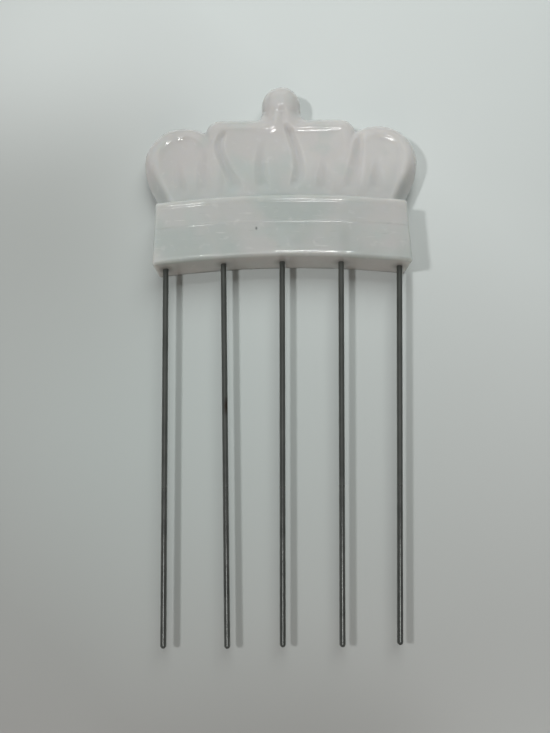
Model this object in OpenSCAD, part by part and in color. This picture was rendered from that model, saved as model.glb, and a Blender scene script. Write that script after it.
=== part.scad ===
// Lift comb: a crown cast in one piece of milky resin, with five straight steel pins set
// into its base. The comb lies on its flat back. +X is to the right, +Y runs from the pin
// tips to the knob, +Z is up. The origin is under the middle of the whole comb, at the back.

/* [Band] */
// Width of the band at its base
band_w = 69.7; // [68.7:0.1:70.7]
// How much narrower it is at its top, on each side
band_taper = 0.5; // [0:0.1:0.8]
// Height of the band from its base to the top of its bead
band_h = 17.8; // [17.2:0.1:18.6]
// Thickness of the band, from the flat back to the face of the upper tier
band_t = 10; // [9:0.25:11]
// Radius of the long arc that the base, the tiers and the bead follow
arc_r = 280; // [220:10:400]
// Height above the base where the lower tier ends and the upper tier starts
tier_y = 10; // [9:0.25:11]
// How far the upper tier stands above the lower one
tier_step = 0.06; // [0.05:0.01:0.3]
// Width of the bead along the top of the band
bead_w = 2.6; // [1.8:0.1:3]
// How far the bead stands above the upper tier
bead_rise = 0.16; // [0.1:0.01:0.4]
// Radius of the rounded front edge of the band
edge_r = 1; // [0.6:0.1:1.4]

/* [Crown] */
// Half the width of the shoulders
shoulder_half_w = 21.9; // [21:0.1:22.6]
// Height of the top of the shoulders above the base
shoulder_top = 43.5; // [42.5:0.25:44.5]
// Radius of the round corners of the shoulders
shoulder_r = 4.9; // [4:0.1:6]
// How far the cap with its lobes stands to the right of the band's middle
cap_x = 0.2; // [0:0.1:0.4]
// Distance of a side lobe's middle from the middle of the cap
lobe_x = 27.7; // [27:0.1:28.2]
// Radius of a side lobe
lobe_r = 11.3; // [11:0.1:11.8]
// Height of a side lobe's top above the base
lobe_top = 41.2; // [40:0.1:42]
// Height where a lobe's outer side starts to lean in towards the band
lean_y = 26; // [24:0.5:28]
// Angle of that lean from the upright
lean_angle = 27; // [20:1:32]
// Thickness of the crown at its rolled rim
rim_t = 8.2; // [7.5:0.1:8.8]
// Width of the rolled rim
rim_w = 4.2; // [3.5:0.1:5]

/* [Knob] */
// Radius of the knob on top
knob_r = 5.65; // [5.2:0.05:6]
// Height of the knob's middle above the base
knob_y = 48.4; // [47.7:0.1:49]
// How far the knob stands to the right of the middle
knob_x = 0.6; // [0:0.1:1]
// Height above the base where the knob's face stands highest
knob_top = 49.1; // [48.2:0.1:50]
// Thickness of the comb there
knob_t = 9.2; // [8.2:0.1:9.8]

/* [Pins] */
// Diameter of the steel wire
pin_d = 1.5; // [1.2:0.1:1.6]
// Length of wire that is set in the crown
pin_set = 17; // [12:0.5:18]
// Gap between the wire and its hole, all round
pin_gap = 0.03; // [0.02:0.01:0.06]

/* [Hidden] */

// One row for each pin, left to right: where its middle leaves the base, where its tip ends
// up after its slight lean, its height above the back at both places, and how far its tip
// reaches below the middle of the base.
BASE_X = 0; TIP_X = 1; BASE_Z = 2; TIP_Z = 3; REACH = 4;
pins = [
    [-32.0, -30.5, 5.1, 4.4, 98.2],
    [-16.2, -15.1, 4.8, 4.3, 98.5],
    [  0.0,  -1.7, 4.7, 4.2, 98.4],
    [ 16.2,  12.7, 5.1, 4.3, 98.6],
    [ 32.2,  26.6, 5.0, 4.4, 98.3],
];

// One row for each groove between the folds of the cap, left to right. A groove's middle line
// starts at TOP_X, is pulled by two more places and ends at FOOT_X. TOP_Y and FOOT_Y are its
// ends above the base, H is half its width at each end, and FADE is how far it takes to reach
// its depth from the top.
TOP_X = 0; PULL_1 = 1; PULL_2 = 2; FOOT_X = 3; TOP_Y = 4; FOOT_Y = 5;
TOP_H = 6; FOOT_H = 7; DEPTH = 8; FADE = 9;
grooves = [
    [-28.9, -28.8, -28.2, -27.0, 31.0, 18.4, 1.2, 2.4, 0.34,  9],
    [-21.2, -21.8, -21.4, -21.0, 34.0, 18.6, 1.4, 3.0, 0.46, 10],
    [-15.2, -21.4, -12.0, -12.8, 39.0, 19.4, 1.5, 2.6, 0.60,  3],
    [ -4.2,  -6.2,  -5.6,  -4.4, 37.0, 19.8, 1.4, 2.8, 0.62, 11],
    [  1.8,   3.8,   7.4,   3.2, 41.0, 20.4, 1.5, 2.4, 0.80,  3],
    [ 12.0,  12.3,  12.4,  11.7, 31.0, 18.6, 1.2, 3.2, 0.50,  8],
    [ 22.9,  21.8,  21.2,  18.6, 38.5, 19.2, 1.5, 3.2, 0.58,  4],
    [ 27.4,  27.2,  26.6,  26.0, 31.0, 18.6, 1.2, 2.6, 0.42,  8],
];

// One row for each soft heap that a fold ends in above the band: its middle, half its width and
// height, and its rise. The last row is a long one that lifts the neck towards the knob.
HEAP_X = 0; HEAP_Y = 1; HALF_W = 2; HALF_H = 3; RISE = 4;
heaps = [
    [-25.0, 23.4, 2.8, 5, 0.16],
    [-17.8, 23.6, 2.4, 5, 0.18],
    [ -9.4, 24.3, 3.2, 5, 0.22],
    [  8.3, 24.7, 2.3, 5, 0.24],
    [ 15.9, 23.6, 2.4, 5, 0.20],
    [ 23.4, 23.6, 2.2, 5, 0.24],
    [ 30.1, 23.2, 2.4, 5, 0.16],
    [  0.6, 44.0, 4.6, 12, 0.50],
];

// Sizes that follow from the ones above. The middle of the band's base stands where the origin
// comes out under the middle of the whole comb.
base_x = -cap_x;
base_y = (max([for (p = pins) p[REACH]]) - knob_y - knob_r) / 2;
corner_r = 0.7;          // round corners of the band, seen from the front
lobe_low = 12;           // a lobe's upright sides end behind the band
lobe_high = lobe_top - lobe_r;
lean_blend = 2.5;        // width of the soft corner where a lobe's side starts to lean
shoulder_low = 8;        // the shoulders start behind the band
neck_low = 41;           // and the knob's straight neck starts behind the shoulders' edge
rise_low = 34;           // the cap's face runs up into the neck from here
rise_high = 44.5;        // and ends in a half circle round here
side_more = 1.4;         // how far the band's sides run on above its top
cap_blend = 1.2;         // width of the soft corners between the shoulders and the lobes
band_blend = 1;          // of those between the lobes and the band
root_blend = 3;          // and of those at the knob's neck
band_meets_cap = 0.5;    // width of the soft crease where the faces of band and cap meet
knob_meets_cap = 2;      // and where the knob's face meets the cap's
wall_t = 4;              // thickness left at the outline of the cap and the knob
band_steepness = 4;      // how fast the band's face drops away outside the band
cheek_x = 28;            // the rolled rim turns to a straight slope from here outwards
cheek_run = 5;           // over this width
cheek_top = 30;          // and from this height downwards
cheek_fade = 10;         // over this height
cheek_w = 3.2;           // width of that slope
cheek_soft = 0.3;        // share of it that is rounded at its top
lobe_melt = 6;           // width of the soft valley between a lobe's face and the shoulders'
melt_in = 4;             // and how far inside the outline it has that width
relief_in = 1;           // width of bare rim at the outline that grooves and heaps leave
relief_run = 3;          // and the width over which they reach their full depth
foot_fade = 3;           // how far a groove takes to fade out at its foot
dish = 0.28;             // how far the cap falls inside its rolled rim
dish_w = 2.8;            // and over what width
tier_roll = 0.4;         // width of the rolled lower edge of the upper tier
lower_fall = 0.03;       // how far the lower tier falls towards the base
fan_y = 16;              // height of the point that sees the whole outline
near_in = 15;            // nearer to that point than any of the outline above the band
far_out = 60;            // and farther from it than any of the outline

// Numbers of steps: dense steps to measure the outline, then columns and rows of the face
measure_steps = 260;
halvings = 22;
hair = 0.0001;           // a row that only touches the outline still counts as inside it
columns = 100;
cap_rows = 13;
crowding = 0.65;         // how much closer the columns stand at the sides and in the middle
rim_crowding = 1.7;      // 1 spaces the rows of the cap evenly, more crowds them at the rim
rim_skip = 0.2;          // how much farther apart they end on the lobes than elsewhere
column_bend = 3;         // 1 makes the columns straight above the band, more bends them out late

// Heights above the base of the rows on the band, closer at its edges, step and bead
band_rows = [0, 0.12 * edge_r, 0.45 * edge_r, edge_r, 0.36 * tier_y, 0.68 * tier_y,
    tier_y - 0.3, tier_y, tier_y + 0.3 * tier_roll, tier_y + tier_roll, band_h - 1.5 * bead_w,
    band_h - bead_w, band_h - 0.8 * bead_w, band_h - 0.5 * bead_w, band_h - 0.2 * bead_w, band_h];
last_band_row = len(band_rows) - 1;
rows = last_band_row + cap_rows;

function sq(v) = v * v;
function held(v) = min(max(v, 0), 1);
function eased(v) = let (c = held(v)) c * c * (3 - 2 * c);
function quarter(v) = sqrt(1 - sq(1 - held(v)));
function curve(a, b, c, d, v) = let (u = 1 - v)
    a * pow(u, 3) + 3 * b * v * sq(u) + 3 * c * sq(v) * u + d * pow(v, 3);
function mound(v) = sq(max(1 - sq(v), 0));

// The larger of two values, rounded off where they differ by less than w
function soft_max(a, b, w) = max(a, b) + sq(max(w - abs(a - b), 0)) / (4 * w);

// How far a point lies inside a shape: a box with round corners, or an upright capsule
function in_box(x, y, half_w, low, high, r) =
    let (qx = abs(x) - half_w + r, qy = abs(y - (low + high) / 2) - (high - low) / 2 + r)
    r - norm([max(qx, 0), max(qy, 0)]) - min(max(qx, qy), 0);
function in_capsule(x, y, mid_x, low, high, r) = r - norm([x - mid_x, y - min(max(y, low), high)]);

// How far the long arc has dropped at x, and a point's height above the arched base
function drop(x) = sq(x) / (2 * arc_r);
function above_base(x, y) = y + drop(x);

// How far a point lies inside the band, the cap, the knob and the whole outline, in which the
// band's sides run on up to the lobes
function in_band(x, y, more = 0) = let (v = above_base(x, y))
    in_box(x, v, band_w / 2 - band_taper * v / band_h, 0, band_h + more, corner_r);
function in_lean(x, y) =
    (lobe_x + lobe_r - x) * cos(lean_angle) + (y - lean_y) * sin(lean_angle);
function in_lobe(x, y) =
    -soft_max(-in_capsule(x, y, lobe_x, lobe_low, lobe_high, lobe_r), -in_lean(x, y), lean_blend);
function in_cap(x, y, melt = cap_blend) = soft_max(
    in_box(x - cap_x, y, shoulder_half_w, shoulder_low, shoulder_top, shoulder_r),
    in_lobe(abs(x - cap_x), y), melt);
function in_knob(x, y) = in_capsule(x, y, knob_x, neck_low, knob_y, knob_r);
function in_outline(x, y) =
    soft_max(soft_max(in_band(x, y, side_more), in_cap(x, y), band_blend), in_knob(x, y), root_blend);

// Face of the band at height v above the base: a lower tier that falls a little towards the
// base, an upper tier with a rolled lower edge, and a soft bead on top
function band_face(v) =
    (v < tier_y ? band_t - tier_step - lower_fall * sq(1 - v / tier_y)
                : band_t - tier_step * sq(1 - held((v - tier_y) / tier_roll)))
    + bead_rise * mound(2 * (v - band_h) / bead_w + 1);
function band_z(x, y) = let (d = in_band(x, y))
    band_face(above_base(x, y)) - edge_r * (1 - quarter(d / edge_r))
    - band_steepness * max(-d, 0);

// A groove's depth at a point: a mound across its curved middle line, faded at both ends
function groove_z(x, y, g) =
    let (
        v = held((g[TOP_Y] - y) / (g[TOP_Y] - g[FOOT_Y])),
        mid_x = curve(g[TOP_X], g[PULL_1], g[PULL_2], g[FOOT_X], v),
        half_w = g[TOP_H] + (g[FOOT_H] - g[TOP_H]) * v,
        ends = eased((g[TOP_Y] - y) / g[FADE]) * eased((y - g[FOOT_Y]) / foot_fade))
    g[DEPTH] * ends * mound((x - mid_x) / half_w);
function grooves_z(x, y) = max([for (g = grooves) groove_z(x, y, g)]);

// A heap's rise at a point: an oval mound
function heap_z(x, y, h) =
    h[RISE] * mound(norm([(x - h[HEAP_X]) / h[HALF_W], (y - h[HEAP_Y]) / h[HALF_H]]));
function heaps_z(x, y) = max([for (h = heaps) heap_z(x, y, h)]);

// How far a point lies inside the cap for its face: the lobes melt into the shoulders, and the
// shoulders run up into the neck
function in_crest(x, y) =
    let (
        d = in_cap(x, y),
        melted = in_cap(x, y, lobe_melt),
        neck = in_capsule(x, y, knob_x, rise_low, rise_high, knob_r))
    soft_max(d + (melted - d) * eased(d / melt_in), neck, root_blend);

// How much of its height the rim has reached: a quarter circle all round, and a straight slope
// with a soft top where the lobes lean in above the band
function rim_share(x, y, d) =
    let (
        rolled = quarter(d / rim_w),
        straight = 1 - soft_max(0, 1 - d / cheek_w, cheek_soft),
        outside = eased((abs(x - cap_x) - cheek_x) / cheek_run))
    rolled + (straight - rolled) * outside * eased((cheek_top - y) / cheek_fade);

// Face of the cap: a wall, a rolled rim, a dished inside, and the grooves and heaps on it
function cap_z(x, y) = let (d = in_crest(x, y))
    wall_t + (rim_t - wall_t) * rim_share(x, y, d)
    - dish * (1 - pow(1 - held((d - rim_w) / dish_w), 3))
    + (heaps_z(x, y) - grooves_z(x, y)) * eased((d - relief_in) / relief_run);

// Face of the knob: a ball that falls as a quarter circle from its highest place to its outline
function knob_z(x, y) =
    let (
        to_edge = max(knob_r - norm([x - knob_x, y - knob_y]), 0),
        to_top = norm([x - knob_x, y - knob_top]))
    wall_t + (knob_t - wall_t) * quarter(1 - to_top / (to_top + to_edge + hair));
function face_z(x, y) = soft_max(
    soft_max(band_z(x, y), cap_z(x, y), band_meets_cap), knob_z(x, y), knob_meets_cap);

// Distance from a point inside the outline to the outline, in the direction of an angle,
// found by halving the stretch that holds the crossing
function reach(x, y, angle, near = 0, far = far_out, left = halvings) =
    let (mid = (near + far) / 2)
    left == 0 ? mid
    : in_outline(x + mid * cos(angle), y + mid * sin(angle)) > 0
        ? reach(x, y, angle, mid, far, left - 1)
        : reach(x, y, angle, near, mid, left - 1);

// How far out a row of the band reaches, found by halving along the row, and a point on the
// row of number j at a share from -1 to 1
function side_x(v, near = 0, far = far_out, left = halvings) = let (mid = (near + far) / 2)
    left == 0 ? mid
    : in_outline(mid, v - drop(mid)) > -hair ? side_x(v, mid, far, left - 1)
    : side_x(v, near, mid, left - 1);
side = [for (v = band_rows) side_x(v)];
function across(i) = let (s = 2 * i / columns - 1) s - crowding * sin(360 * s) / (2 * PI);
function on_band(i, j) = let (x = across(i) * side[j]) [x, band_rows[j] - drop(x)];

// The outline above the band, left to right, measured in dense steps from the fan point.
// Each row of the table holds the length so far and the place.
start = on_band(columns, last_band_row);
start_angle = atan2(start[1] - fan_y, start[0]);
function seen(a) = let (r = reach(0, fan_y, a, near_in)) [r * cos(a), fan_y + r * sin(a)];
dense = [for (k = [0 : measure_steps])
    seen(180 - start_angle - k * (180 - 2 * start_angle) / measure_steps)];
step_lengths = [for (k = [1 : measure_steps]) norm(dense[k] - dense[k - 1])];
lengths = [for (k = 0, l = 0; k <= measure_steps;
    l = l + (k < measure_steps ? step_lengths[k] : 0), k = k + 1) l];
length_to_x = [for (k = [0 : measure_steps]) [lengths[k], dense[k][0]]];
length_to_y = [for (k = [0 : measure_steps]) [lengths[k], dense[k][1]]];
function along_outline(u) = u - rim_skip * sin(720 * u) / (4 * PI);
function on_outline(i) = let (l = lengths[measure_steps] * along_outline(i / columns))
    [lookup(l, length_to_x), lookup(l, length_to_y)];
rim = [for (i = [0 : columns]) on_outline(i)];

// A place on the face: column i from left to right, row j from the base to the outline. Above
// the band a column starts upright and bends out to its end on the outline, and the rows draw
// closer together towards the rolled rim.
function place(i, j) = j <= last_band_row ? on_band(i, j)
    : let (foot = on_band(i, last_band_row), u = 1 - pow((rows - j) / cap_rows, rim_crowding))
    [foot[0] + pow(u, column_bend) * (rim[i][0] - foot[0]), foot[1] + u * (rim[i][1] - foot[1])];

// The crown as one closed mesh: the face, an upright wall down to the back all round, and a
// flat back. The two end columns shrink to a point above the band.
function is_end(i) = i == 0 || i == columns;
function at(i, j) = i * (rows + 1) + (is_end(i) ? min(j, last_band_row) : j);
face_points = [for (i = [0 : columns], j = [0 : rows])
    let (p = place(i, is_end(i) ? min(j, last_band_row) : j)) [p[0], p[1], face_z(p[0], p[1])]];
loop = concat(
    [for (i = [0 : columns]) at(i, 0)],
    [for (j = [1 : last_band_row]) at(columns, j)],
    [for (i = [columns - 1 : -1 : 1]) at(i, rows)],
    [for (j = [last_band_row : -1 : 1]) at(0, j)]);
turns = len(loop);
first_back = len(face_points);
back_points = [for (k = loop) [face_points[k][0], face_points[k][1], 0]];
fan_point = first_back + turns;
cells = [for (i = [0 : columns - 1], j = [0 : rows - 1])
    [at(i, j), at(i, j + 1), at(i + 1, j + 1), at(i + 1, j)]];
halves = [for (c = cells, half = [[c[0], c[1], c[2]], [c[0], c[2], c[3]]])
    if (half[0] != half[1] && half[1] != half[2] && half[0] != half[2]) half];
wall_faces = [for (k = [0 : turns - 1]) let (n = (k + 1) % turns)
    [loop[k], loop[n], first_back + n, first_back + k]];
back_faces = [for (k = [0 : turns - 1]) [first_back + k, first_back + (k + 1) % turns, fan_point]];

// A pin's two ends, and the unit direction from its tip to its set end
function entry(p) = [base_x + p[BASE_X], base_y - drop(p[BASE_X]), p[BASE_Z]];
function tip(p) = [base_x + p[TIP_X], base_y - p[REACH], p[TIP_Z]];
function inward(p) = (entry(p) - tip(p)) / norm(entry(p) - tip(p));

// Draws its children, which stand on the origin along +Z, from a place in a direction
module along(from, dir) {
    translate(from) rotate([0, acos(dir[2]), atan2(dir[1], dir[0])]) children();
}

// A straight wire of steel with a domed tip and a flat set end
module pin(p) {
    r = pin_d / 2;
    length = norm(entry(p) - tip(p)) + pin_set;
    dome = [for (a = [0 : 15 : 90]) [r * cos(a), r * (1 - sin(a))]];
    color([0.42, 0.43, 0.42]) along(tip(p), inward(p)) rotate_extrude($fn = 48)
        polygon(concat([[0, length], [r, length]], dome));
}

// The blind hole that a pin is set in, open at the base
module pin_hole(p) {
    outside = 2;
    along(entry(p) - outside * inward(p), inward(p))
        cylinder(h = outside + pin_set + pin_gap, r = pin_d / 2 + pin_gap, $fn = 48);
}

// The cast crown: band, cap, lobes and knob in one piece
module crown() {
    color([0.86, 0.88, 0.86]) difference() {
        translate([base_x, base_y, 0]) polyhedron(
            points = concat(face_points, back_points, [[0, fan_y, 0]]),
            faces = concat(halves, wall_faces, back_faces));
        for (p = pins) pin_hole(p);
    }
}

crown();
pin(pins[0]);  // pin_1
pin(pins[1]);  // pin_2
pin(pins[2]);  // pin_3
pin(pins[3]);  // pin_4
pin(pins[4]);  // pin_5
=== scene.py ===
# %% [markdown]
# A lift comb is a pick that lifts and loosens curls. This one has a handle cast in one piece of
# milky resin, in the shape of a crown, and five straight steel pins set in its base. It lies on
# its flat back on a pale table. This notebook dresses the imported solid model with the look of
# the real thing: it loads the model as a fixed frame, works out finer surfaces with numpy, and
# gives each piece a material made of nodes.
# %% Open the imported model
import math

import bpy
import numpy as np
from mathutils import Matrix, Vector


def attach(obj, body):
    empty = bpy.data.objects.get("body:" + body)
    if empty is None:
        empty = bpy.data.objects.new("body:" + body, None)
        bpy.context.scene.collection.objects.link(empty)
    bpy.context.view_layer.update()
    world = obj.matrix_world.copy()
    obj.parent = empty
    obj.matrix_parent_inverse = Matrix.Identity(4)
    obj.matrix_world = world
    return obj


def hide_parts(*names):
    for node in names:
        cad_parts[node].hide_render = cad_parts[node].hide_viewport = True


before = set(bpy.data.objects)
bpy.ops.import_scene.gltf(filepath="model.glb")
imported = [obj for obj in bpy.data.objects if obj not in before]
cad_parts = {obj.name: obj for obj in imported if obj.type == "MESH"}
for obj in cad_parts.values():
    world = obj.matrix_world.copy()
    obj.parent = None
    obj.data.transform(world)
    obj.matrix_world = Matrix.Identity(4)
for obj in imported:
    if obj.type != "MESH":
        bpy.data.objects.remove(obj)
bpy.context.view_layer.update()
print("nodes:", sorted(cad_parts))

# %% [markdown]
# The crown's sizes are in millimetres, as a maker would write them on a drawing, and repeat the
# ones of the solid model. Only the step, its roll and the bead are a little lower or tighter
# here, and the dish starts softly, because this surface is finer. The band is the
# straight-sided strip at the base. Above it the cap spreads into shoulders and two side lobes,
# and a knob stands on top.
# %% Sizes of the crown
MM = 0.001
band = dict(w=69.7, h=17.8, t=10.0, taper=0.5, tier_y=10.0, step=0.05, roll=0.22, fall=0.03,
            bead_w=2.6, bead_rise=0.115, edge_r=1.0, corner_r=0.7, steepness=4.0)
cap = dict(half_w=21.9, low=8.0, top=43.5, corner_r=4.9, rim_t=8.2, rim_w=4.2, wall_t=4.0,
           dish=0.28, dish_w=2.8, crest=0.1)
lobe = dict(x=27.7, r=11.3, low=12.0, top=41.2, lean_y=26.0, lean=math.radians(27), blend=2.5)
knob = dict(x=0.6, y=48.4, r=5.65, low=41.0, t=9.2, top_y=49.1, neck_top=44.5)
cheek = dict(x=28.0, run=5.0, top=30.0, fade=10.0, w=3.2, soft=0.3)
ARC_R = 280.0
SIDE_MORE = 1.4
CAP_BLEND, BAND_BLEND, ROOT_BLEND = 1.2, 1.0, 3.0
BAND_MEETS_CAP, KNOB_MEETS_CAP, RELIEF_IN, RELIEF_RUN = 0.5, 2.0, 1.0, 3.0
LOBE_MELT, LOBE_MELT_IN, NECK_LOW = 6.0, 4.0, 34.0
BASE_X, BASE_Y = -0.2, 22.275
CAP_X = -BASE_X
FAN_Y = 16.0
crown_side = lobe["x"] + lobe["r"]
print("crown: band", band["w"], "mm wide, lobes reach", crown_side, "mm from the cap's middle")

# %% [markdown]
# A smooth shape can be written as a number that tells how far a point lies inside it: positive
# inside, zero on its outline, negative outside. Such numbers can be joined with a rounded
# maximum, which melts two shapes together the way a carved master does. That is why the crown
# is described so, and not with a drawn curve: the same few sizes give its outline, its rounded
# rim and its thickness.
# %% Rounded joins and simple shapes
def held(v):
    """v kept from 0 to 1."""
    return np.clip(v, 0, 1)


def eased(v):
    """Rises from 0 to 1 with level ends: three times v squared less twice v cubed."""
    c = held(v)
    return c * c * (3 - 2 * c)


def quarter(v):
    """A quarter circle that starts upright at 0 and lies level at 1."""
    return np.sqrt(1 - (1 - held(v)) ** 2)


def mound(v):
    """A rounded heap from -1 to 1: the square of one less v squared."""
    return np.maximum(1 - v * v, 0) ** 2


def soft_max(a, b, w):
    """The larger of two values, with the corner rounded where they differ by less than w."""
    return np.maximum(a, b) + np.maximum(w - np.abs(a - b), 0) ** 2 / (4 * w)


def in_box(x, y, half_w, low, high, r):
    """How far a point lies inside a box with round corners: the radius r, less the distance
    past a smaller box whose sides lie r further in, or plus the depth inside that box."""
    qx = np.abs(x) - half_w + r
    qy = np.abs(y - (low + high) / 2) - (high - low) / 2 + r
    return r - np.hypot(np.maximum(qx, 0), np.maximum(qy, 0)) - np.minimum(np.maximum(qx, qy), 0)


def in_capsule(x, y, mid_x, low, high, r):
    """How far a point lies inside an upright capsule: the radius r less the distance to the
    line that runs from low to high."""
    return r - np.hypot(x - mid_x, y - np.clip(y, low, high))


print("a rounded join of 1 and 1 stands", round(float(soft_max(1.0, 1.0, 0.8)), 2), "high")

# %% [markdown]
# The outline joins three shapes: the band, whose base and tiers follow one long arc, the cap
# with its two lobes, and the knob on its neck. The lower side of each lobe leans in towards the
# band, which is a straight cut with a soft corner.
# %% Outline of the crown
def drop(x):
    """How far the long arc has dropped at x: x squared over twice its radius."""
    return x * x / (2 * ARC_R)


def in_band(x, y, more=0.0):
    """The band: a box bent along the arc, whose half width shrinks in proportion to the height."""
    v = y + drop(x)
    half = band["w"] / 2 - band["taper"] * v / band["h"]
    return in_box(x, v, half, 0, band["h"] + more, band["corner_r"])


def in_cap(x, y, melt=CAP_BLEND):
    """The cap: a box for the shoulders melted with a capsule each side. A lobe is cut off below
    by a straight line, as the rounded smaller of the two distances."""
    ax = np.abs(x - CAP_X)
    outer, above = crown_side - ax, y - lobe["lean_y"]
    lean = outer * math.cos(lobe["lean"]) + above * math.sin(lobe["lean"])
    side = in_capsule(ax, y, lobe["x"], lobe["low"], lobe["top"] - lobe["r"], lobe["r"])
    side = -soft_max(-side, -lean, lobe["blend"])
    shoulders = in_box(ax, y, cap["half_w"], cap["low"], cap["top"], cap["corner_r"])
    return soft_max(shoulders, side, melt)


def in_knob(x, y):
    """The knob and its neck: one upright capsule whose upper end is the ball's circle."""
    return in_capsule(x, y, knob["x"], knob["low"], knob["y"], knob["r"])


def in_outline(x, y):
    """The whole crown: the rounded largest of band, cap and knob."""
    return soft_max(soft_max(in_band(x, y, SIDE_MORE), in_cap(x, y), BAND_BLEND),
                    in_knob(x, y), ROOT_BLEND)


knob_end = knob["y"] + knob["r"]
print("knob ends", knob_end, "mm above the base, where the outline's value is",
      round(float(in_outline(knob["x"], knob_end)), 3))

# %% [markdown]
# Nothing on the face is quite even, as on a master that was made by hand. The unevenness is a
# sum of two dozen sine waves of random lengths and directions. A wave is the lower the shorter
# it is, so that the face looks soft and not rough.
# %% Unevenness of hand work
HAND_WAVES, FULL_WAVE = 0.003, 10.0
WAVE_COUNT, SHORTEST_WAVE, LONGEST_WAVE = 24, 4.5, 16.0
waves = np.random.default_rng(7)
wave_turn = waves.uniform(0, 2 * math.pi, WAVE_COUNT)
wave_length = waves.uniform(SHORTEST_WAVE, LONGEST_WAVE, WAVE_COUNT)
wave_start = waves.uniform(0, 2 * math.pi, WAVE_COUNT)


def hand_waves(x, y):
    """The sum of all waves at a point: for each, the sine of the way along its direction, as
    high as HAND_WAVES millimetres for each FULL_WAVE of its length."""
    total = np.zeros_like(x)
    for turn, length, first in zip(wave_turn, wave_length, wave_start):
        along = x * math.cos(turn) + y * math.sin(turn)
        total = total + length / FULL_WAVE * np.sin(2 * math.pi * along / length + first)
    return HAND_WAVES * total


wave_spread = hand_waves(*np.meshgrid(np.linspace(-crown_side, crown_side, 99),
                                      np.linspace(0, knob_end, 70)))
print("hand waves reach", round(float(np.abs(wave_spread).max()), 3), "mm")

# %% [markdown]
# Each part of the face has its own height. The band has a lower tier, a slightly higher upper
# tier with a rolled edge, and a thin bead on top. Outside its own outline its height falls away
# fast, so that the cap's takes over there.
# %% Height of the band
def band_z(x, y):
    """The band's height: each tier nearly level, with a bead at the top as a mound, less a
    quarter circle at the edge, and falling fast outside the band's own outline."""
    d, v = in_band(x, y), y + drop(x)
    lower = band["t"] - band["step"] - band["fall"] * (1 - v / band["tier_y"]) ** 2
    upper = band["t"] - band["step"] * (1 - held((v - band["tier_y"]) / band["roll"])) ** 2
    bead = band["bead_rise"] * mound(2 * (v - band["h"]) / band["bead_w"] + 1)
    edge = band["edge_r"] * (1 - quarter(d / band["edge_r"]))
    tiers = np.where(v < band["tier_y"], lower, upper)
    return tiers + bead - edge - band["steepness"] * np.maximum(-d, 0)


print("band stands", round(float(band_z(0.0, band["tier_y"] / 2)), 2), "mm high on its lower tier and",
      round(float(band_z(0.0, band["h"] - band["bead_w"] / 2)), 2), "mm on its bead")

# %% [markdown]
# The cap shows the puffed cloth of a crown: wavy grooves part it into upright folds, most of
# which end in a soft heap above the band. Both are short tables. A groove's middle line is a
# curve pulled by four x values, from its top down to its foot. The last heap is a long one that
# lifts the neck towards the knob.
# %% Grooves and heaps
grooves = np.array([
    # x top, x pull 1, x pull 2, x foot, y top, y foot, half w top, half w foot, depth, top fade
    [-28.9, -28.8, -28.2, -27.0, 31.0, 18.4, 1.2, 2.4, 0.34, 9.0],
    [-21.2, -21.8, -21.4, -21.0, 34.0, 18.6, 1.4, 3.0, 0.46, 10.0],
    [-15.2, -21.4, -12.0, -12.8, 39.0, 19.4, 1.5, 2.6, 0.60, 3.0],
    [-4.2, -6.2, -5.6, -4.4, 37.0, 19.8, 1.4, 2.8, 0.62, 11.0],
    [1.8, 3.8, 7.4, 3.2, 41.0, 20.4, 1.5, 2.4, 0.80, 3.0],
    [12.0, 12.3, 12.4, 11.7, 31.0, 18.6, 1.2, 3.2, 0.50, 8.0],
    [22.9, 21.8, 21.2, 18.6, 38.5, 19.2, 1.5, 3.2, 0.58, 4.0],
    [27.4, 27.2, 26.6, 26.0, 31.0, 18.6, 1.2, 2.6, 0.42, 8.0],
])
heaps = np.array([
    # x, y, half width, half height, rise
    [-25.0, 23.4, 2.8, 5.0, 0.16],
    [-17.8, 23.6, 2.4, 5.0, 0.18],
    [-9.4, 24.3, 3.2, 5.0, 0.22],
    [8.3, 24.7, 2.3, 5.0, 0.24],
    [15.9, 23.6, 2.4, 5.0, 0.20],
    [23.4, 23.6, 2.2, 5.0, 0.24],
    [30.1, 23.2, 2.4, 5.0, 0.16],
    [0.6, 44.0, 4.6, 12.0, 0.50],
])
FOOT_FADE = 3.0


def grooves_z(x, y):
    """Depth of the deepest groove at a point: its own depth, times a mound of the way from its
    middle line over its half width, times a fade at either end. The middle line is the cubic
    curve of its four x values."""
    deepest = np.zeros_like(x)
    for x0, x1, x2, x3, top, foot, thin, wide, depth, fade in grooves:
        t = held((top - y) / (top - foot))
        middle = x0 * (1 - t) ** 3 + 3 * x1 * t * (1 - t) ** 2 + 3 * x2 * t * t * (1 - t) + x3 * t ** 3
        ends = eased((top - y) / fade) * eased((y - foot) / FOOT_FADE)
        deepest = np.maximum(deepest, depth * ends * mound((x - middle) / (thin + (wide - thin) * t)))
    return deepest


def heaps_z(x, y):
    """Rise of the heaps: each an oval mound of its own height, and the highest one counts."""
    rise = np.zeros_like(x)
    for mid_x, mid_y, half_w, half_h, height in heaps:
        rise = np.maximum(rise, height * mound(np.hypot((x - mid_x) / half_w, (y - mid_y) / half_h)))
    return rise


print(len(grooves), "grooves up to", grooves[:, 8].max(), "mm deep and", len(heaps),
      "heaps up to", heaps[:, 4].max(), "mm high")

# %% [markdown]
# The cap has a rolled rim and a slightly dished middle, and its face runs up into the neck. Where
# the lobes lean in above the band, the rim is a straight slope down to a thinner edge.
# %% Height of the cap
def in_crest(x, y):
    """How far a point lies inside the cap and neck, with lobes and shoulders melted together."""
    d = in_cap(x, y)
    d = d + (in_cap(x, y, LOBE_MELT) - d) * eased(d / LOBE_MELT_IN)
    neck = in_capsule(x, y, knob["x"], NECK_LOW, knob["neck_top"], knob["r"])
    return soft_max(d, neck, ROOT_BLEND)


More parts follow.
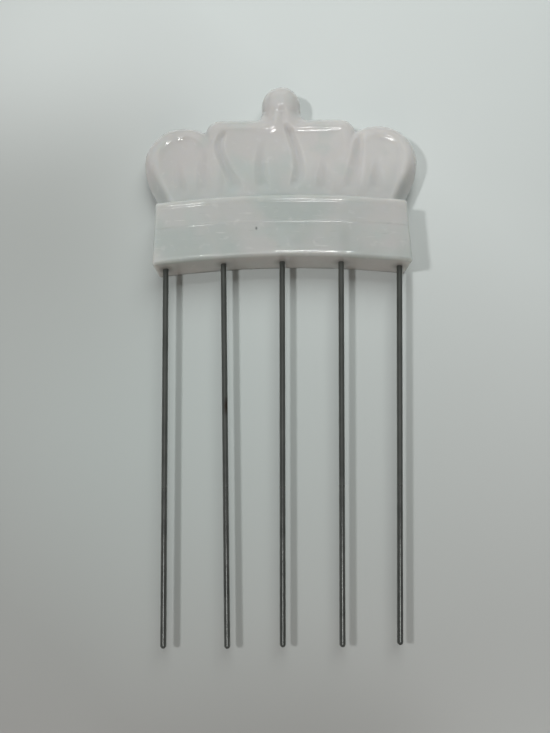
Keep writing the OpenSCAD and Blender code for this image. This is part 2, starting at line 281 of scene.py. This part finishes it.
def rim_share(x, y, d):
    """How much of its height the rim has reached: a quarter circle all round, and a straight
    slope with a soft top where the lobes lean in above the band."""
    rolled = quarter(d / cap["rim_w"])
    straight = 1 - soft_max(0, 1 - d / cheek["w"], cheek["soft"])
    outside = eased((np.abs(x - CAP_X) - cheek["x"]) / cheek["run"])
    return rolled + (straight - rolled) * outside * eased((cheek["top"] - y) / cheek["fade"])


def cap_z(x, y):
    """The cap's height: wall plus rim, less a dish that deepens as one less the cube of the way
    left to its bottom, plus heaps and less grooves, which start a little inside the outline."""
    d = in_crest(x, y)
    rim = cap["wall_t"] + (cap["rim_t"] - cap["wall_t"]) * rim_share(x, y, d)
    inside = np.hypot(held((d - cap["rim_w"]) / cap["dish_w"]), cap["crest"]) - cap["crest"]
    dished = cap["dish"] * (1 - (1 - inside) ** 3)
    relief = (heaps_z(x, y) - grooves_z(x, y)) * eased((d - RELIEF_IN) / RELIEF_RUN)
    return rim - dished + relief


print("cap stands", round(float(cap_z(0.3, 26.0)), 2), "mm high on the middle fold")

# %% [markdown]
# The knob is a ball whose top leans a little beyond its middle. The whole face takes the largest
# of the three heights, with rounded joins, and adds the unevenness of hand work.
# %% Height of the knob and the whole face
TINY = 1e-9


def knob_z(x, y):
    """A ball whose top stands a little beyond its middle. It falls as a quarter circle from its
    top to the outline: the share of the way is the distance to the top over that distance and
    the one to the outline together."""
    to_edge = np.maximum(knob["r"] - np.hypot(x - knob["x"], y - knob["y"]), 0)
    to_top = np.hypot(x - knob["x"], y - knob["top_y"])
    ball = quarter(1 - to_top / (to_top + to_edge + TINY))
    return cap["wall_t"] + (knob["t"] - cap["wall_t"]) * ball


def face_z(x, y):
    """The face's height: the rounded largest of band, cap and knob, with the hand waves added."""
    low = soft_max(band_z(x, y), cap_z(x, y), BAND_MEETS_CAP)
    return soft_max(low, knob_z(x, y), KNOB_MEETS_CAP) + hand_waves(x, y)


print("knob stands", round(float(face_z(knob["x"], knob["top_y"])), 2), "mm high at its top")

# %% [markdown]
# A grid is laid over the face, and on the band its rows follow the arc from side to side. Rows
# and columns stand closest where the surface turns fastest, at the edges, the step and the bead.
# The band's sides are found by halving: the stretch that holds the crossing is cut in two until
# nothing worth measuring is left of it. The lowest row lies on the outline itself, so a point
# within a hair of it counts as inside.
# %% Grid over the band
COLUMNS, CROWDING = 400, 0.65
HALVINGS, FAR_OUT, HAIR = 34, 60.0, 1e-5
BAND_STEPS = dict(edge=14, lower=16, roll=11, upper=9, bead=21)
ROLL_CROWDING = 1.5


def halve(inside, near, far):
    """The place between near and far where inside(place) turns false, by repeated halving."""
    for _ in range(HALVINGS):
        mid = (near + far) / 2
        is_in = inside(mid)
        near, far = np.where(is_in, mid, near), np.where(is_in, far, mid)
    return (near + far) / 2


def rows_on_band():
    """Heights of the band's rows: even stretches on the flats, and stretches that crowd as a
    cosine or a power does at the edge, the step and the bead."""
    h, b, e, t = band["h"], band["bead_w"], band["edge_r"], band["tier_y"]
    edge = e * (1 - np.cos(np.linspace(0, math.pi / 2, BAND_STEPS["edge"])))
    lower = np.linspace(e, t, BAND_STEPS["lower"])[1:]
    roll = t + band["roll"] * np.linspace(0, 1, BAND_STEPS["roll"])[1:] ** ROLL_CROWDING
    upper = np.linspace(t + band["roll"], h - b, BAND_STEPS["upper"])[1:]
    bead = h - b / 2 - b / 2 * np.cos(np.linspace(0, math.pi, BAND_STEPS["bead"]))[1:]
    return np.concatenate([edge, lower, roll, upper, bead])


band_rows = rows_on_band()
share = np.linspace(-1, 1, COLUMNS + 1)
across = share - CROWDING * np.sin(2 * math.pi * share) / (2 * math.pi)
side_x = halve(lambda x: in_outline(x, band_rows - drop(x)) > -HAIR,
               np.zeros_like(band_rows), np.full_like(band_rows, FAR_OUT))
on_band_x = across[:, None] * side_x[None, :]
on_band = np.stack([on_band_x, band_rows[None, :] - drop(on_band_x)], -1)
print("grid over the band:", on_band.shape[0], "columns and", on_band.shape[1], "rows")

# %% [markdown]
# Above the band each column runs on, upright at first, and then bends to its own place on the
# outline. Rows close in on the outline, because the rim is rolled there. The outline is measured
# from a point inside that sees all of it, and shared out by its length, a little more closely at
# the knob and at the lobes' feet.
# %% Grid over the cap
CAP_ROWS, RIM_CROWDING, RIM_SKIP, COLUMN_BEND = 84, 2.0, 0.2, 3.0
MEASURE_STEPS, NEAR_IN = 2600, 15.0
start = on_band[-1, -1]
start_angle = math.atan2(start[1] - FAN_Y, start[0])
angles = np.linspace(math.pi - start_angle, start_angle, MEASURE_STEPS + 1)
reach = halve(lambda r: in_outline(r * np.cos(angles), FAN_Y + r * np.sin(angles)) > 0,
              np.full_like(angles, NEAR_IN), np.full_like(angles, FAR_OUT))
dense = np.stack([reach * np.cos(angles), FAN_Y + reach * np.sin(angles)], -1)
lengths = np.concatenate([[0], np.cumsum(np.linalg.norm(np.diff(dense, axis=0), axis=1))])
u = np.linspace(0, 1, COLUMNS + 1)
wanted = lengths[-1] * (u - RIM_SKIP * np.sin(4 * math.pi * u) / (4 * math.pi))
rim = np.stack([np.interp(wanted, lengths, dense[:, k]) for k in (0, 1)], -1)
up = 1 - (1 - np.arange(1, CAP_ROWS + 1) / CAP_ROWS) ** RIM_CROWDING
foot = on_band[:, -1]
cap_x = foot[:, None, 0] + up[None, :] ** COLUMN_BEND * (rim[:, None, 0] - foot[:, None, 0])
cap_y = foot[:, None, 1] + up[None, :] * (rim[:, None, 1] - foot[:, None, 1])
grid = np.concatenate([on_band, np.stack([cap_x, cap_y], -1)], 1)
print("whole grid:", grid.shape[0], "columns and", grid.shape[1], "rows; outline above the band",
      round(float(lengths[-1]), 1), "mm long")

# %% [markdown]
# A closed surface needs three sheets that share their edge points: the face, a wall down to the
# back with a small round at the bottom, and the flat back. The two end columns shrink to a
# point above the band, where the lobes start. The back is a set of rings that close on a point
# from which the whole outline can be seen.
# %% Close the crown's surface
WALL_STEPS, BACK_R, BACK_STEPS, BACK_RINGS, PROBE = 8, 0.4, 5, 8, 0.01
ROWS = grid.shape[1] - 1
LAST = len(band_rows) - 1


def quads(a, b):
    """Faces between two lines of point numbers of the same length."""
    return np.stack([a[:-1], b[:-1], b[1:], a[1:]], -1)


def inward_at(x, y):
    """Inward direction at the outline: the slope of how far a point lies inside, made 1 long."""
    slope = np.stack([in_outline(x + PROBE, y) - in_outline(x - PROBE, y),
                      in_outline(x, y + PROBE) - in_outline(x, y - PROBE)], -1)
    return slope / np.linalg.norm(slope, axis=-1, keepdims=True)


def crown_surface():
    """Points of the face, its wall, the round at the wall's foot and the back's rings, with the
    numbers of the points that make each four-sided face and the fan in the middle of the back."""
    number = np.arange((COLUMNS + 1) * (ROWS + 1)).reshape(COLUMNS + 1, ROWS + 1)
    number[0, LAST:] = number[0, LAST]
    number[-1, LAST:] = number[-1, LAST]
    x, y = grid[..., 0], grid[..., 1]
    face = np.stack([x, y, face_z(x, y)], -1).reshape(-1, 3)
    cells = np.stack([number[:-1, :-1], number[1:, :-1], number[1:, 1:], number[:-1, 1:]], -1)
    loop = np.concatenate([number[:, 0], number[-1, 1:LAST + 1], number[-2:0:-1, ROWS],
                           number[0, LAST:0:-1]])
    edge = face[loop]
    inward = inward_at(edge[:, 0], edge[:, 1])
    t = np.linspace(0, 1, WALL_STEPS + 1)[1:, None]
    turn = np.linspace(0, math.pi / 2, BACK_STEPS + 1)[1:, None]
    shrink = np.linspace(0, 1, BACK_RINGS + 1)[1:-1, None, None] ** 2
    wall = np.broadcast_to(edge[None], (WALL_STEPS, len(loop), 3)).copy()
    wall[..., 2] = edge[:, 2] + (BACK_R - edge[:, 2]) * t
    foot_round = np.concatenate([
        edge[None, :, :2] + inward[None] * (BACK_R * (1 - np.cos(turn)))[..., None],
        np.broadcast_to(BACK_R * (1 - np.sin(turn))[..., None], (BACK_STEPS, len(loop), 1))], -1)
    pole = np.array([0.0, FAN_Y, 0.0])
    back = foot_round[-1][None] * (1 - shrink) + pole * shrink
    rings = np.concatenate([wall, foot_round, back])
    first = len(face)
    ring_numbers = first + np.arange(rings.shape[0] * len(loop)).reshape(-1, len(loop))
    lines = np.concatenate([loop[None], ring_numbers])
    lines = np.concatenate([lines, lines[:, :1]], 1)
    sides = np.concatenate([quads(a, b) for a, b in zip(lines[:-1], lines[1:])])
    last_point = first + rings.shape[0] * len(loop)
    fan = np.stack([lines[-1, :-1], np.full(len(loop), last_point), lines[-1, 1:]], -1)
    points = np.concatenate([face, rings.reshape(-1, 3), pole[None]])
    return points, np.concatenate([cells.reshape(-1, 4), sides]), fan


crown_points, crown_quads, crown_fan = crown_surface()
print("crown surface:", len(crown_points), "points,", len(crown_quads), "four-sided faces")

# %% [markdown]
# Blender takes a mesh as a list of points and a list of faces. Where an end column has shrunk to
# a point, a four-sided face has two equal corners and becomes a triangle, or nothing at all.
# Points that no face uses are left out. The object stays at the origin and its place is in its
# mesh, as with the solid model's own pieces.
# %% Put the crown into Blender
def faces_without_twins(four):
    """Four-sided faces as they are, and triangles where two neighbouring corners are one point."""
    same = four == np.roll(four, -1, 1)
    whole = four[~same.any(1)]
    pinched = four[same.sum(1) == 1]
    keep = ~(pinched == np.roll(pinched, -1, 1))
    three = pinched[keep].reshape(-1, 3)
    return whole, three


def make_piece(name, points_mm, *face_sets):
    """A mesh object from points in millimetres, without unused points, smooth shaded."""
    used = np.unique(np.concatenate([f.ravel() for f in face_sets]))
    renumber = np.zeros(len(points_mm), int)
    renumber[used] = np.arange(len(used))
    mesh = bpy.data.meshes.new(name)
    mesh.from_pydata(points_mm[used] * MM, [], [f for fs in face_sets for f in renumber[fs].tolist()])
    mesh.polygons.foreach_set("use_smooth", np.ones(len(mesh.polygons), bool))
    mesh.update()
    piece = bpy.data.objects.new(name, mesh)
    bpy.context.scene.collection.objects.link(piece)
    return piece


whole, three = faces_without_twins(crown_quads)
crown = make_piece("cast_crown", crown_points + [BASE_X, BASE_Y, 0], whole, three, crown_fan)
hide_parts("crown")
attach(crown, "root")
triangles = sum(len(p.vertices) - 2 for p in crown.data.polygons)
print("cast_crown:", triangles, "triangles, box", [round(v / MM, 2) for v in crown.dimensions])

# %% [markdown]
# Resin and steel share three effects: soft clouds that drift over the surface, a slow change
# from one place to another, and a round spot that fades outwards. The table uses clouds and
# spots too. Each effect is a node group, so that it is drawn once and set by its named inputs
# wherever it is used. A group gives only a value from 0 to 1. What that value does, a colour or
# a gloss, is up to the material.
# %% Three node groups
def wire(tree, a, b):
    """Joins an output to an input."""
    tree.links.new(a, b)


def new_group(name, output, **inputs):
    """A node group with named inputs, each a number or a vector, and one output from 0 to 1."""
    group = bpy.data.node_groups.new(name, "ShaderNodeTree")
    for socket, value in inputs.items():
        kind = "NodeSocketVector" if isinstance(value, tuple) else "NodeSocketFloat"
        made = group.interface.new_socket(socket, in_out="INPUT", socket_type=kind)
        made.default_value = value
    group.interface.new_socket(output, in_out="OUTPUT", socket_type="NodeSocketFloat")
    given = group.nodes.new("NodeGroupInput").outputs
    return group, given, group.nodes.new("NodeGroupOutput").inputs[output]


def soft_clouds():
    """Fractal noise, stretched between two levels."""
    group, given, cloud = new_group("soft_clouds", "Cloud", Vector=(0, 0, 0), Size=100.0,
                                    Detail=3.0, From=0.35, To=0.65)
    noise, span = group.nodes.new("ShaderNodeTexNoise"), group.nodes.new("ShaderNodeMapRange")
    wire(group, given["Vector"], noise.inputs["Vector"])
    wire(group, given["Size"], noise.inputs["Scale"])
    wire(group, given["Detail"], noise.inputs["Detail"])
    wire(group, noise.outputs["Fac"], span.inputs["Value"])
    wire(group, given["From"], span.inputs["From Min"])
    wire(group, given["To"], span.inputs["From Max"])
    wire(group, span.outputs["Result"], cloud)
    return group


def slow_change():
    """A smooth rise along a direction: from 0 at the start to 1 at the end, level at both."""
    group, given, rise = new_group("slow_change", "Rise", Vector=(0, 0, 0),
                                   Direction=(0, 1, 0), Start=0.0, End=1.0)
    along = group.nodes.new("ShaderNodeVectorMath")
    along.operation = "DOT_PRODUCT"
    wire(group, given["Vector"], along.inputs[0])
    wire(group, given["Direction"], along.inputs[1])
    span = group.nodes.new("ShaderNodeMapRange")
    span.interpolation_type = "SMOOTHSTEP"
    wire(group, along.outputs["Value"], span.inputs["Value"])
    wire(group, given["Start"], span.inputs["From Min"])
    wire(group, given["End"], span.inputs["From Max"])
    wire(group, span.outputs["Result"], rise)
    return group


def round_spot():
    """1 at the centre and 0 beyond the spread, which the shape stretches along each axis."""
    group, given, spot = new_group("round_spot", "Spot", Vector=(0, 0, 0), Centre=(0, 0, 0),
                                   Shape=(1, 1, 1), Spread=0.01)
    away, length = group.nodes.new("ShaderNodeMapping"), group.nodes.new("ShaderNodeVectorMath")
    away.vector_type, length.operation = "TEXTURE", "LENGTH"
    wire(group, given["Vector"], away.inputs["Vector"])
    wire(group, given["Centre"], away.inputs["Location"])
    wire(group, given["Shape"], away.inputs["Scale"])
    wire(group, away.outputs["Vector"], length.inputs[0])
    span = group.nodes.new("ShaderNodeMapRange")
    span.interpolation_type = "SMOOTHSTEP"
    wire(group, length.outputs["Value"], span.inputs["Value"])
    wire(group, given["Spread"], span.inputs["From Max"])
    span.inputs["From Min"].default_value = 0
    span.inputs["To Min"].default_value, span.inputs["To Max"].default_value = 1, 0
    wire(group, span.outputs["Result"], spot)
    return group


clouds, change, round_fade = soft_clouds(), slow_change(), round_spot()
for group in (clouds, change, round_fade):
    print(group.name, "inputs:", [s.name for s in group.interface.items_tree if s.in_out == "INPUT"])

# %% [markdown]
# A material is a small tree of nodes. Helpers keep each tree short: one starts a material with
# its shader, one gives the point's own place, and three set a cloud, a slow change or a spot
# there.
# %% Helpers that start a material and set a pattern
def start_material(name, **plain):
    """A new material with a Principled shader whose plain sockets get the given values."""
    material = bpy.data.materials.new(name)
    material.use_nodes = True
    shader = material.node_tree.nodes["Principled BSDF"]
    for socket, value in plain.items():
        shader.inputs[socket.replace("_", " ")].default_value = value
    return material, material.node_tree, shader


def place(tree):
    """The point's own place on the object, in metres."""
    return tree.nodes.new("ShaderNodeTexCoord").outputs["Object"]


def use(tree, group, where, **values):
    """One use of a node group at a place, with its named inputs set."""
    node = tree.nodes.new("ShaderNodeGroup")
    node.node_tree = group
    wire(tree, where, node.inputs["Vector"])
    for socket, value in values.items():
        node.inputs[socket].default_value = value
    return node.outputs[0]


def cloud(tree, where, size, detail=3.0, low=0.35, high=0.65):
    """Soft clouds, finer the larger the size number."""
    return use(tree, clouds, where, Size=size, Detail=detail, From=low, To=high)


def along(tree, where, direction, start, end):
    """A slow change along a direction, between two places in metres."""
    return use(tree, change, where, Direction=direction, Start=start, End=end)


def spot(tree, where, centre, spread, shape=(1, 1, 1)):
    """A round spot, made longer or thinner by its shape."""
    return use(tree, round_fade, where, Centre=centre, Spread=spread, Shape=shape)


ALONG_X, ALONG_Y, UPWARDS = (1, 0, 0), (0, 1, 0), (0, 0, 1)
print("patterns:", [pattern.__name__ for pattern in (cloud, along, spot)])

# %% [markdown]
# What a pattern gives is a mask, a value from 0 to 1 that tells where an effect shows. More
# helpers work with masks: they multiply two, move a colour towards another, turn a mask into a
# gloss, or tilt the surface a very little.
# %% Helpers that work with masks
def product(tree, a, b):
    """Two masks, or a mask and a number, multiplied."""
    node = tree.nodes.new("ShaderNodeMath")
    node.operation = "MULTIPLY"
    wire(tree, a, node.inputs[0])
    if isinstance(b, bpy.types.NodeSocket):
        wire(tree, b, node.inputs[1])
    else:
        node.inputs[1].default_value = b
    return node.outputs["Value"]


def blend_colours(tree, mask, a, b):
    """Colour a where the mask is 0 and colour b where it is 1. Either may be a socket."""
    node = tree.nodes.new("ShaderNodeMix")
    node.data_type = "RGBA"
    wire(tree, mask, node.inputs["Factor"])
    named = [s for s in node.inputs if s.type == "RGBA"]
    for socket, value in zip(named, (a, b)):
        if isinstance(value, bpy.types.NodeSocket):
            wire(tree, value, socket)
        else:
            socket.default_value = (*value, 1)
    return next(s for s in node.outputs if s.type == "RGBA")


def tint(tree, colour, mask, share, towards):
    """A colour moved towards another by a share of the way, where the mask is 1."""
    return blend_colours(tree, product(tree, mask, share), colour, towards)


def stretch(tree, mask, start, end):
    """A mask from 0 to 1 as a value that runs from start to end."""
    node = tree.nodes.new("ShaderNodeMapRange")
    wire(tree, mask, node.inputs["Value"])
    node.inputs["To Min"].default_value, node.inputs["To Max"].default_value = start, end
    return node.outputs["Result"]


def bump(tree, height, distance):
    """A normal tilted by a height map whose full height is the distance in metres."""
    node = tree.nodes.new("ShaderNodeBump")
    wire(tree, height, node.inputs["Height"])
    node.inputs["Distance"].default_value = distance
    return node.outputs["Normal"]


print("uses of a mask:", [use_of.__name__ for use_of in (product, blend_colours, tint, stretch, bump)])

# %% [markdown]
# Milky resin lets light a few millimetres in and scatters it, so its shadows are soft and its
# edges glow a little. The Principled shader's subsurface scattering does that. The milk is not
# even. The cap is a little warmer than the band, and painted shade makes it darker at its left
# than at its right, where the light falls off. The band is a little cooler and darker, partly its
# own cooler tint and partly painted shade towards the base. There is a cooler, darker place low in
# the middle of the cap, and painted light makes the band's right end paler and warmer. Cloudy
# patches and short wisps run through both. All of these are colours under one clear gloss, so
# only the base colour changes from place to place.
# %% Milky resin: colours in the milk, painted light and painted shade
def on_crown(x, y, z):
    """A place on the crown, from millimetres measured at the middle of the band's base."""
    return ((x + BASE_X) * MM, (y + BASE_Y) * MM, z * MM)


resin, tree, shader = start_material("milky_resin", IOR=1.5, Subsurface_Weight=1.0,
                                     Subsurface_Scale=0.003)
shader.inputs["Subsurface Radius"].default_value = (1.0, 0.95, 0.85)
where = place(tree)
# Painted shade: the cap's milk is darker at the left and paler at the right, where the light falls
# off.
cap_milk_and_falloff = blend_colours(tree, along(tree, where, ALONG_X, -0.034, 0.030),
                         (0.545, 0.537, 0.524), (0.640, 0.632, 0.619))
# The band is darker than the cap: partly its own cooler tint, partly painted shade towards the base.
in_cap_only = along(tree, where, ALONG_Y, 0.036, 0.052)
milk = blend_colours(tree, in_cap_only, (0.470, 0.505, 0.488), cap_milk_and_falloff)
cool_middle = spot(tree, where, on_crown(-8.0, 24.0, 8.0), spread=0.016, shape=(1.35, 0.75, 1.0))
milk = tint(tree, milk, cool_middle, 0.7, (0.500, 0.545, 0.525))
# Painted light: the band's right end is painted paler and warmer.
lit_band_end = spot(tree, where, on_crown(27.0, 9.0, 10.0), spread=0.015)
milk = tint(tree, milk, lit_band_end, 0.7, (0.585, 0.565, 0.555))
patches = cloud(tree, where, size=75.0, detail=2.0, low=0.42, high=0.62)
colour = tint(tree, milk, patches, 0.5, (0.600, 0.575, 0.565))
cool = cloud(tree, where, size=130.0, detail=4.0, low=0.52, high=0.72)
colour = tint(tree, colour, cool, 0.5, (0.505, 0.555, 0.535))
wisps = cloud(tree, where, size=420.0, detail=5.0, low=0.60, high=0.74)
colour = tint(tree, colour, wisps, 0.35, (0.68, 0.68, 0.665))
crown.data.materials.append(resin)
print("milky_resin:", len(tree.nodes), "nodes for its clouds")

# %% [markdown]
# The band shows short dark and pale dashes that run across the comb, as if the mould had been
# scraped there. They are clouds again. Their place is shrunk across the comb and stretched along
# it before it is read, which makes the clouds themselves long across it and thin along it.
# %% Milky resin: dashes in the band
flat = tree.nodes.new("ShaderNodeMapping")
wire(tree, where, flat.inputs["Vector"])
flat.inputs["Scale"].default_value = (0.22, 1.6, 1.0)
in_band_only = along(tree, where, ALONG_Y, 0.041, 0.037)
dashes = cloud(tree, flat.outputs["Vector"], size=900.0, detail=3.0, low=0.63, high=0.73)
colour = tint(tree, colour, product(tree, dashes, in_band_only), 0.35, (0.40, 0.425, 0.41))
pale_dashes = cloud(tree, flat.outputs["Vector"], size=700.0, detail=2.0, low=0.66, high=0.76)
colour = tint(tree, colour, product(tree, pale_dashes, in_band_only), 0.35, (0.74, 0.74, 0.72))
print("milky_resin:", len(tree.nodes), "nodes with its dashes")

# %% [markdown]
# The end face that the pins go into is painted warmer and paler than the rest, a painted glow
# of light in the resin, and painted shade darkens a ring around each pin where it meets that face.
# One larger smudge and one small dark speck were caught in the band. The gloss is nearly that of
# glass, a little softer on the knob, with a very fine unevenness that only shows in the
# highlights.
# %% Milky resin: painted glow and shade, smudge, speck and gloss
# Painted light: the end face is painted warmer and paler, a glow of light through the resin.
painted_end_glow = product(tree, along(tree, where, UPWARDS, 0.0093, 0.0080),
                   along(tree, where, ALONG_Y, 0.0248, 0.0228))
colour = tint(tree, colour, painted_end_glow, 0.4, (0.65, 0.595, 0.565))
PIN_BASES = [(-32.0, 5.1), (-16.2, 4.8), (0.0, 4.7), (16.2, 5.1), (32.2, 5.0)]
# Painted shade: a dark ring around each pin where it meets the end face.
for x, z in PIN_BASES:
    pin_entry_shade = spot(tree, where, on_crown(x, -drop(x), z), spread=0.0032)
    colour = tint(tree, colour, pin_entry_shade, 0.55, (0.20, 0.19, 0.17))
smudge = spot(tree, where, on_crown(17.0, 4.6, 10.0), spread=0.001, shape=(2.4, 5.5, 3.0))
colour = tint(tree, colour, smudge, 0.30, (0.40, 0.415, 0.40))
speck = spot(tree, where, on_crown(-6.9, 7.7, 9.9), spread=0.0006, shape=(0.8, 1.25, 1.0))
colour = tint(tree, colour, speck, 0.9, (0.10, 0.11, 0.11))
wire(tree, colour, shader.inputs["Base Color"])
SOFTER_ON_KNOB = 0.06
gloss = tree.nodes.new("ShaderNodeMath")
gloss.operation = "MULTIPLY_ADD"
on_knob = spot(tree, where, on_crown(knob["x"], knob["y"], knob["t"]), spread=0.009)
wire(tree, on_knob, gloss.inputs[0])
gloss.inputs[1].default_value = SOFTER_ON_KNOB
wire(tree, stretch(tree, cloud(tree, where, size=220.0), start=0.05, end=0.09), gloss.inputs[2])
wire(tree, gloss.outputs["Value"], shader.inputs["Roughness"])
fine = cloud(tree, where, size=260.0, detail=2.0, low=0.2, high=0.8)
wire(tree, bump(tree, fine, distance=0.00003), shader.inputs["Normal"])
print("milky_resin:", len(tree.nodes), "nodes in all")

# %% [markdown]
# The pins are drawn steel wire, dull grey near the crown and worn smooth towards the tips, where
# they show a pale streak. The second pin has one small rust stain. The solid model's own
# cylinders have the right shape, so they stay and only get a better material. Part of the metal
# look is given up for a plain grey, as dull wire also shows its own colour.
# %% Drawn steel
steel, tree, shader = start_material("drawn_steel", Metallic=0.75)
where = place(tree)
worn = along(tree, where, ALONG_Y, 0.005, -0.055)
dull = blend_colours(tree, cloud(tree, where, size=150.0), (0.15, 0.16, 0.149), (0.19, 0.20, 0.187))
bright = blend_colours(tree, cloud(tree, where, size=260.0),
                       (0.145, 0.153, 0.145), (0.20, 0.208, 0.198))
colour = blend_colours(tree, worn, dull, bright)
rust = spot(tree, where, (-0.0155, -0.0175, 0.0052), spread=0.0011, shape=(1.0, 3.4, 1.0))
rust = product(tree, rust, cloud(tree, where, size=900.0, detail=3.0, low=0.25, high=0.42))
colour = tint(tree, colour, rust, 0.95, (0.055, 0.038, 0.026))
wire(tree, colour, shader.inputs["Base Color"])
wire(tree, stretch(tree, worn, start=0.58, end=0.2), shader.inputs["Roughness"])
grain = cloud(tree, where, size=1500.0, detail=2.0, low=0.3, high=0.7)
wire(tree, bump(tree, grain, distance=0.000007), shader.inputs["Normal"])
for k in range(1, len(PIN_BASES) + 1):
    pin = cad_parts[f"pin_{k}"]
    pin.data.materials.clear()
    pin.data.materials.append(steel)
print("drawn_steel on", k, "pins")

# %% [markdown]
# The comb lies on a plain pale table, which is a stage and not part of it. Light falls off from
# the far right to the near left, and the table's colour is painted darker that way as a painted
# falloff of light. A few wide painted patches of shadow and light make it a little darker or
# lighter in places.
# %% Table
table_size = 2.4
mesh = bpy.data.meshes.new("table")
half = table_size / 2
corners = [(-half, -half, 0), (half, -half, 0), (half, half, 0), (-half, half, 0)]
mesh.from_pydata(corners, [], [(0, 1, 2, 3)])
table = bpy.data.objects.new("table", mesh)
bpy.context.scene.collection.objects.link(table)
pale, tree, shader = start_material("pale_table", Roughness=0.6)
where = place(tree)
slanted = tree.nodes.new("ShaderNodeVectorMath")
slanted.operation = "DOT_PRODUCT"
wire(tree, where, slanted.inputs[0])
slanted.inputs[1].default_value = (0.9, 1.0, 0.0)
# Painted light: the table is painted darker towards the near left, where the light falls off.
painted_falloff = tree.nodes.new("ShaderNodeMapRange")
wire(tree, slanted.outputs["Value"], painted_falloff.inputs["Value"])
painted_falloff.inputs["From Min"].default_value, painted_falloff.inputs["From Max"].default_value = -0.13, 0.09
tone = blend_colours(tree, painted_falloff.outputs["Result"], (0.36, 0.356, 0.346), (0.69, 0.728, 0.718))
shade = blend_colours(tree, cloud(tree, where, size=9.0), (0.50, 0.51, 0.505), (0.62, 0.64, 0.63))
even = tint(tree, tone, cloud(tree, where, size=30.0, low=0.0, high=1.0), 0.125, shade)
# Painted shadow and painted light: wide soft patches that darken or lighten the table.
painted_shadow_and_light_patches = [
    # x, y, spread, share, colour
    (-0.030, -0.020, 0.110, 0.30, (0.46, 0.575, 0.555)),
    (-0.070, 0.034, 0.072, 0.55, (0.36, 0.375, 0.36)),
    (-0.078, 0.100, 0.055, 0.40, (0.76, 0.80, 0.785)),
    (0.000, -0.120, 0.055, 0.65, (0.32, 0.325, 0.315)),
    (0.072, -0.120, 0.060, 0.65, (0.62, 0.64, 0.63)),
]
for x, y, spread, patch_share, patch_colour in painted_shadow_and_light_patches:
    even = tint(tree, even, spot(tree, where, (x, y, 0.0), spread), patch_share, patch_colour)
wire(tree, even, shader.inputs["Base Color"])
mesh.materials.append(pale)
print("table", table_size, "m wide")

# %% [markdown]
# A large soft lamp behind the comb and a faint warm one in front light it evenly, and a small
# lamp at the left casts the pins' shadows. They are hidden from reflections. What the gloss
# mirrors are two oval ceiling lamps, which draw the thin highlights on knob, rim, bead and
# front edge, and one pale patch that the pins mirror as a streak.
# %% Light
def lamp(name, stands_at, width, depth, power, colour=(1, 1, 1)):
    """A lamp of the given width along X and depth that stands at a place and faces the comb."""
    data = bpy.data.lights.new(name, "AREA")
    data.shape, data.size, data.size_y = "ELLIPSE", width, depth
    data.energy, data.color = power, colour
    z = Vector(stands_at).normalized()
    x = Vector((0, 1, 0)).cross(z).normalized()
    light = bpy.data.objects.new(name, data)
    turned = Matrix((x, z.cross(x), z)).transposed().to_4x4()
    light.matrix_world = Matrix.Translation(stands_at) @ turned
    bpy.context.scene.collection.objects.link(light)
    return light


overhead = lamp("overhead_softbox", (0.07, 0.27, 0.31), width=0.34, depth=0.34, power=0.95,
                colour=(0.97, 1.0, 0.985))
front_fill = lamp("front_fill", (0.0, -0.35, 0.16), width=0.24, depth=0.24, power=0.24,
                  colour=(1.0, 0.84, 0.74))
side = lamp("side_lamp", (-0.20, -0.01, 0.30), width=0.035, depth=0.035, power=0.45)
for soft in (overhead, front_fill, side):
    soft.visible_glossy = False
lamp("ceiling_lamp_1", (-0.175, 0.42, 1.2), width=0.09, depth=0.05, power=0.33)
lamp("ceiling_lamp_2", (0.085, 0.42, 1.2), width=0.18, depth=0.05, power=0.60)
streak = lamp("streak_light", (0.0, -0.27, 0.90), width=0.26, depth=0.26, power=0.66)
streak.visible_diffuse = False
world = bpy.data.worlds.new("room")
bpy.context.scene.world = world
world.use_nodes = True
world.node_tree.nodes["Background"].inputs["Color"].default_value = (0.97, 1.0, 0.98, 1)
world.node_tree.nodes["Background"].inputs["Strength"].default_value = 0.10
bpy.context.scene.view_settings.view_transform = "Standard"

# %% [markdown]
# The camera stands where the photograph was taken from: almost straight above the comb, on the
# side of the pins, with a slight tilt.
# %% Camera
CAMERA_PLACE = (-3.14, -36.21, 148.0)
CAMERA_TILT, CAMERA_TURN = 11.5, -0.93
FOCAL_PIXELS, PICTURE_WIDTH = 551, 550
data = bpy.data.cameras.new("camera")
data.sensor_fit, data.sensor_width = "HORIZONTAL", 36.0
data.lens = data.sensor_width * FOCAL_PIXELS / PICTURE_WIDTH
data.clip_start = 0.005
camera = bpy.data.objects.new("camera", data)
camera.location = [c * MM for c in CAMERA_PLACE]
camera.rotation_euler = (math.radians(CAMERA_TILT), 0, math.radians(CAMERA_TURN))
bpy.context.scene.collection.objects.link(camera)
bpy.context.scene.camera = camera
print("camera lens", round(data.lens, 2), "mm")
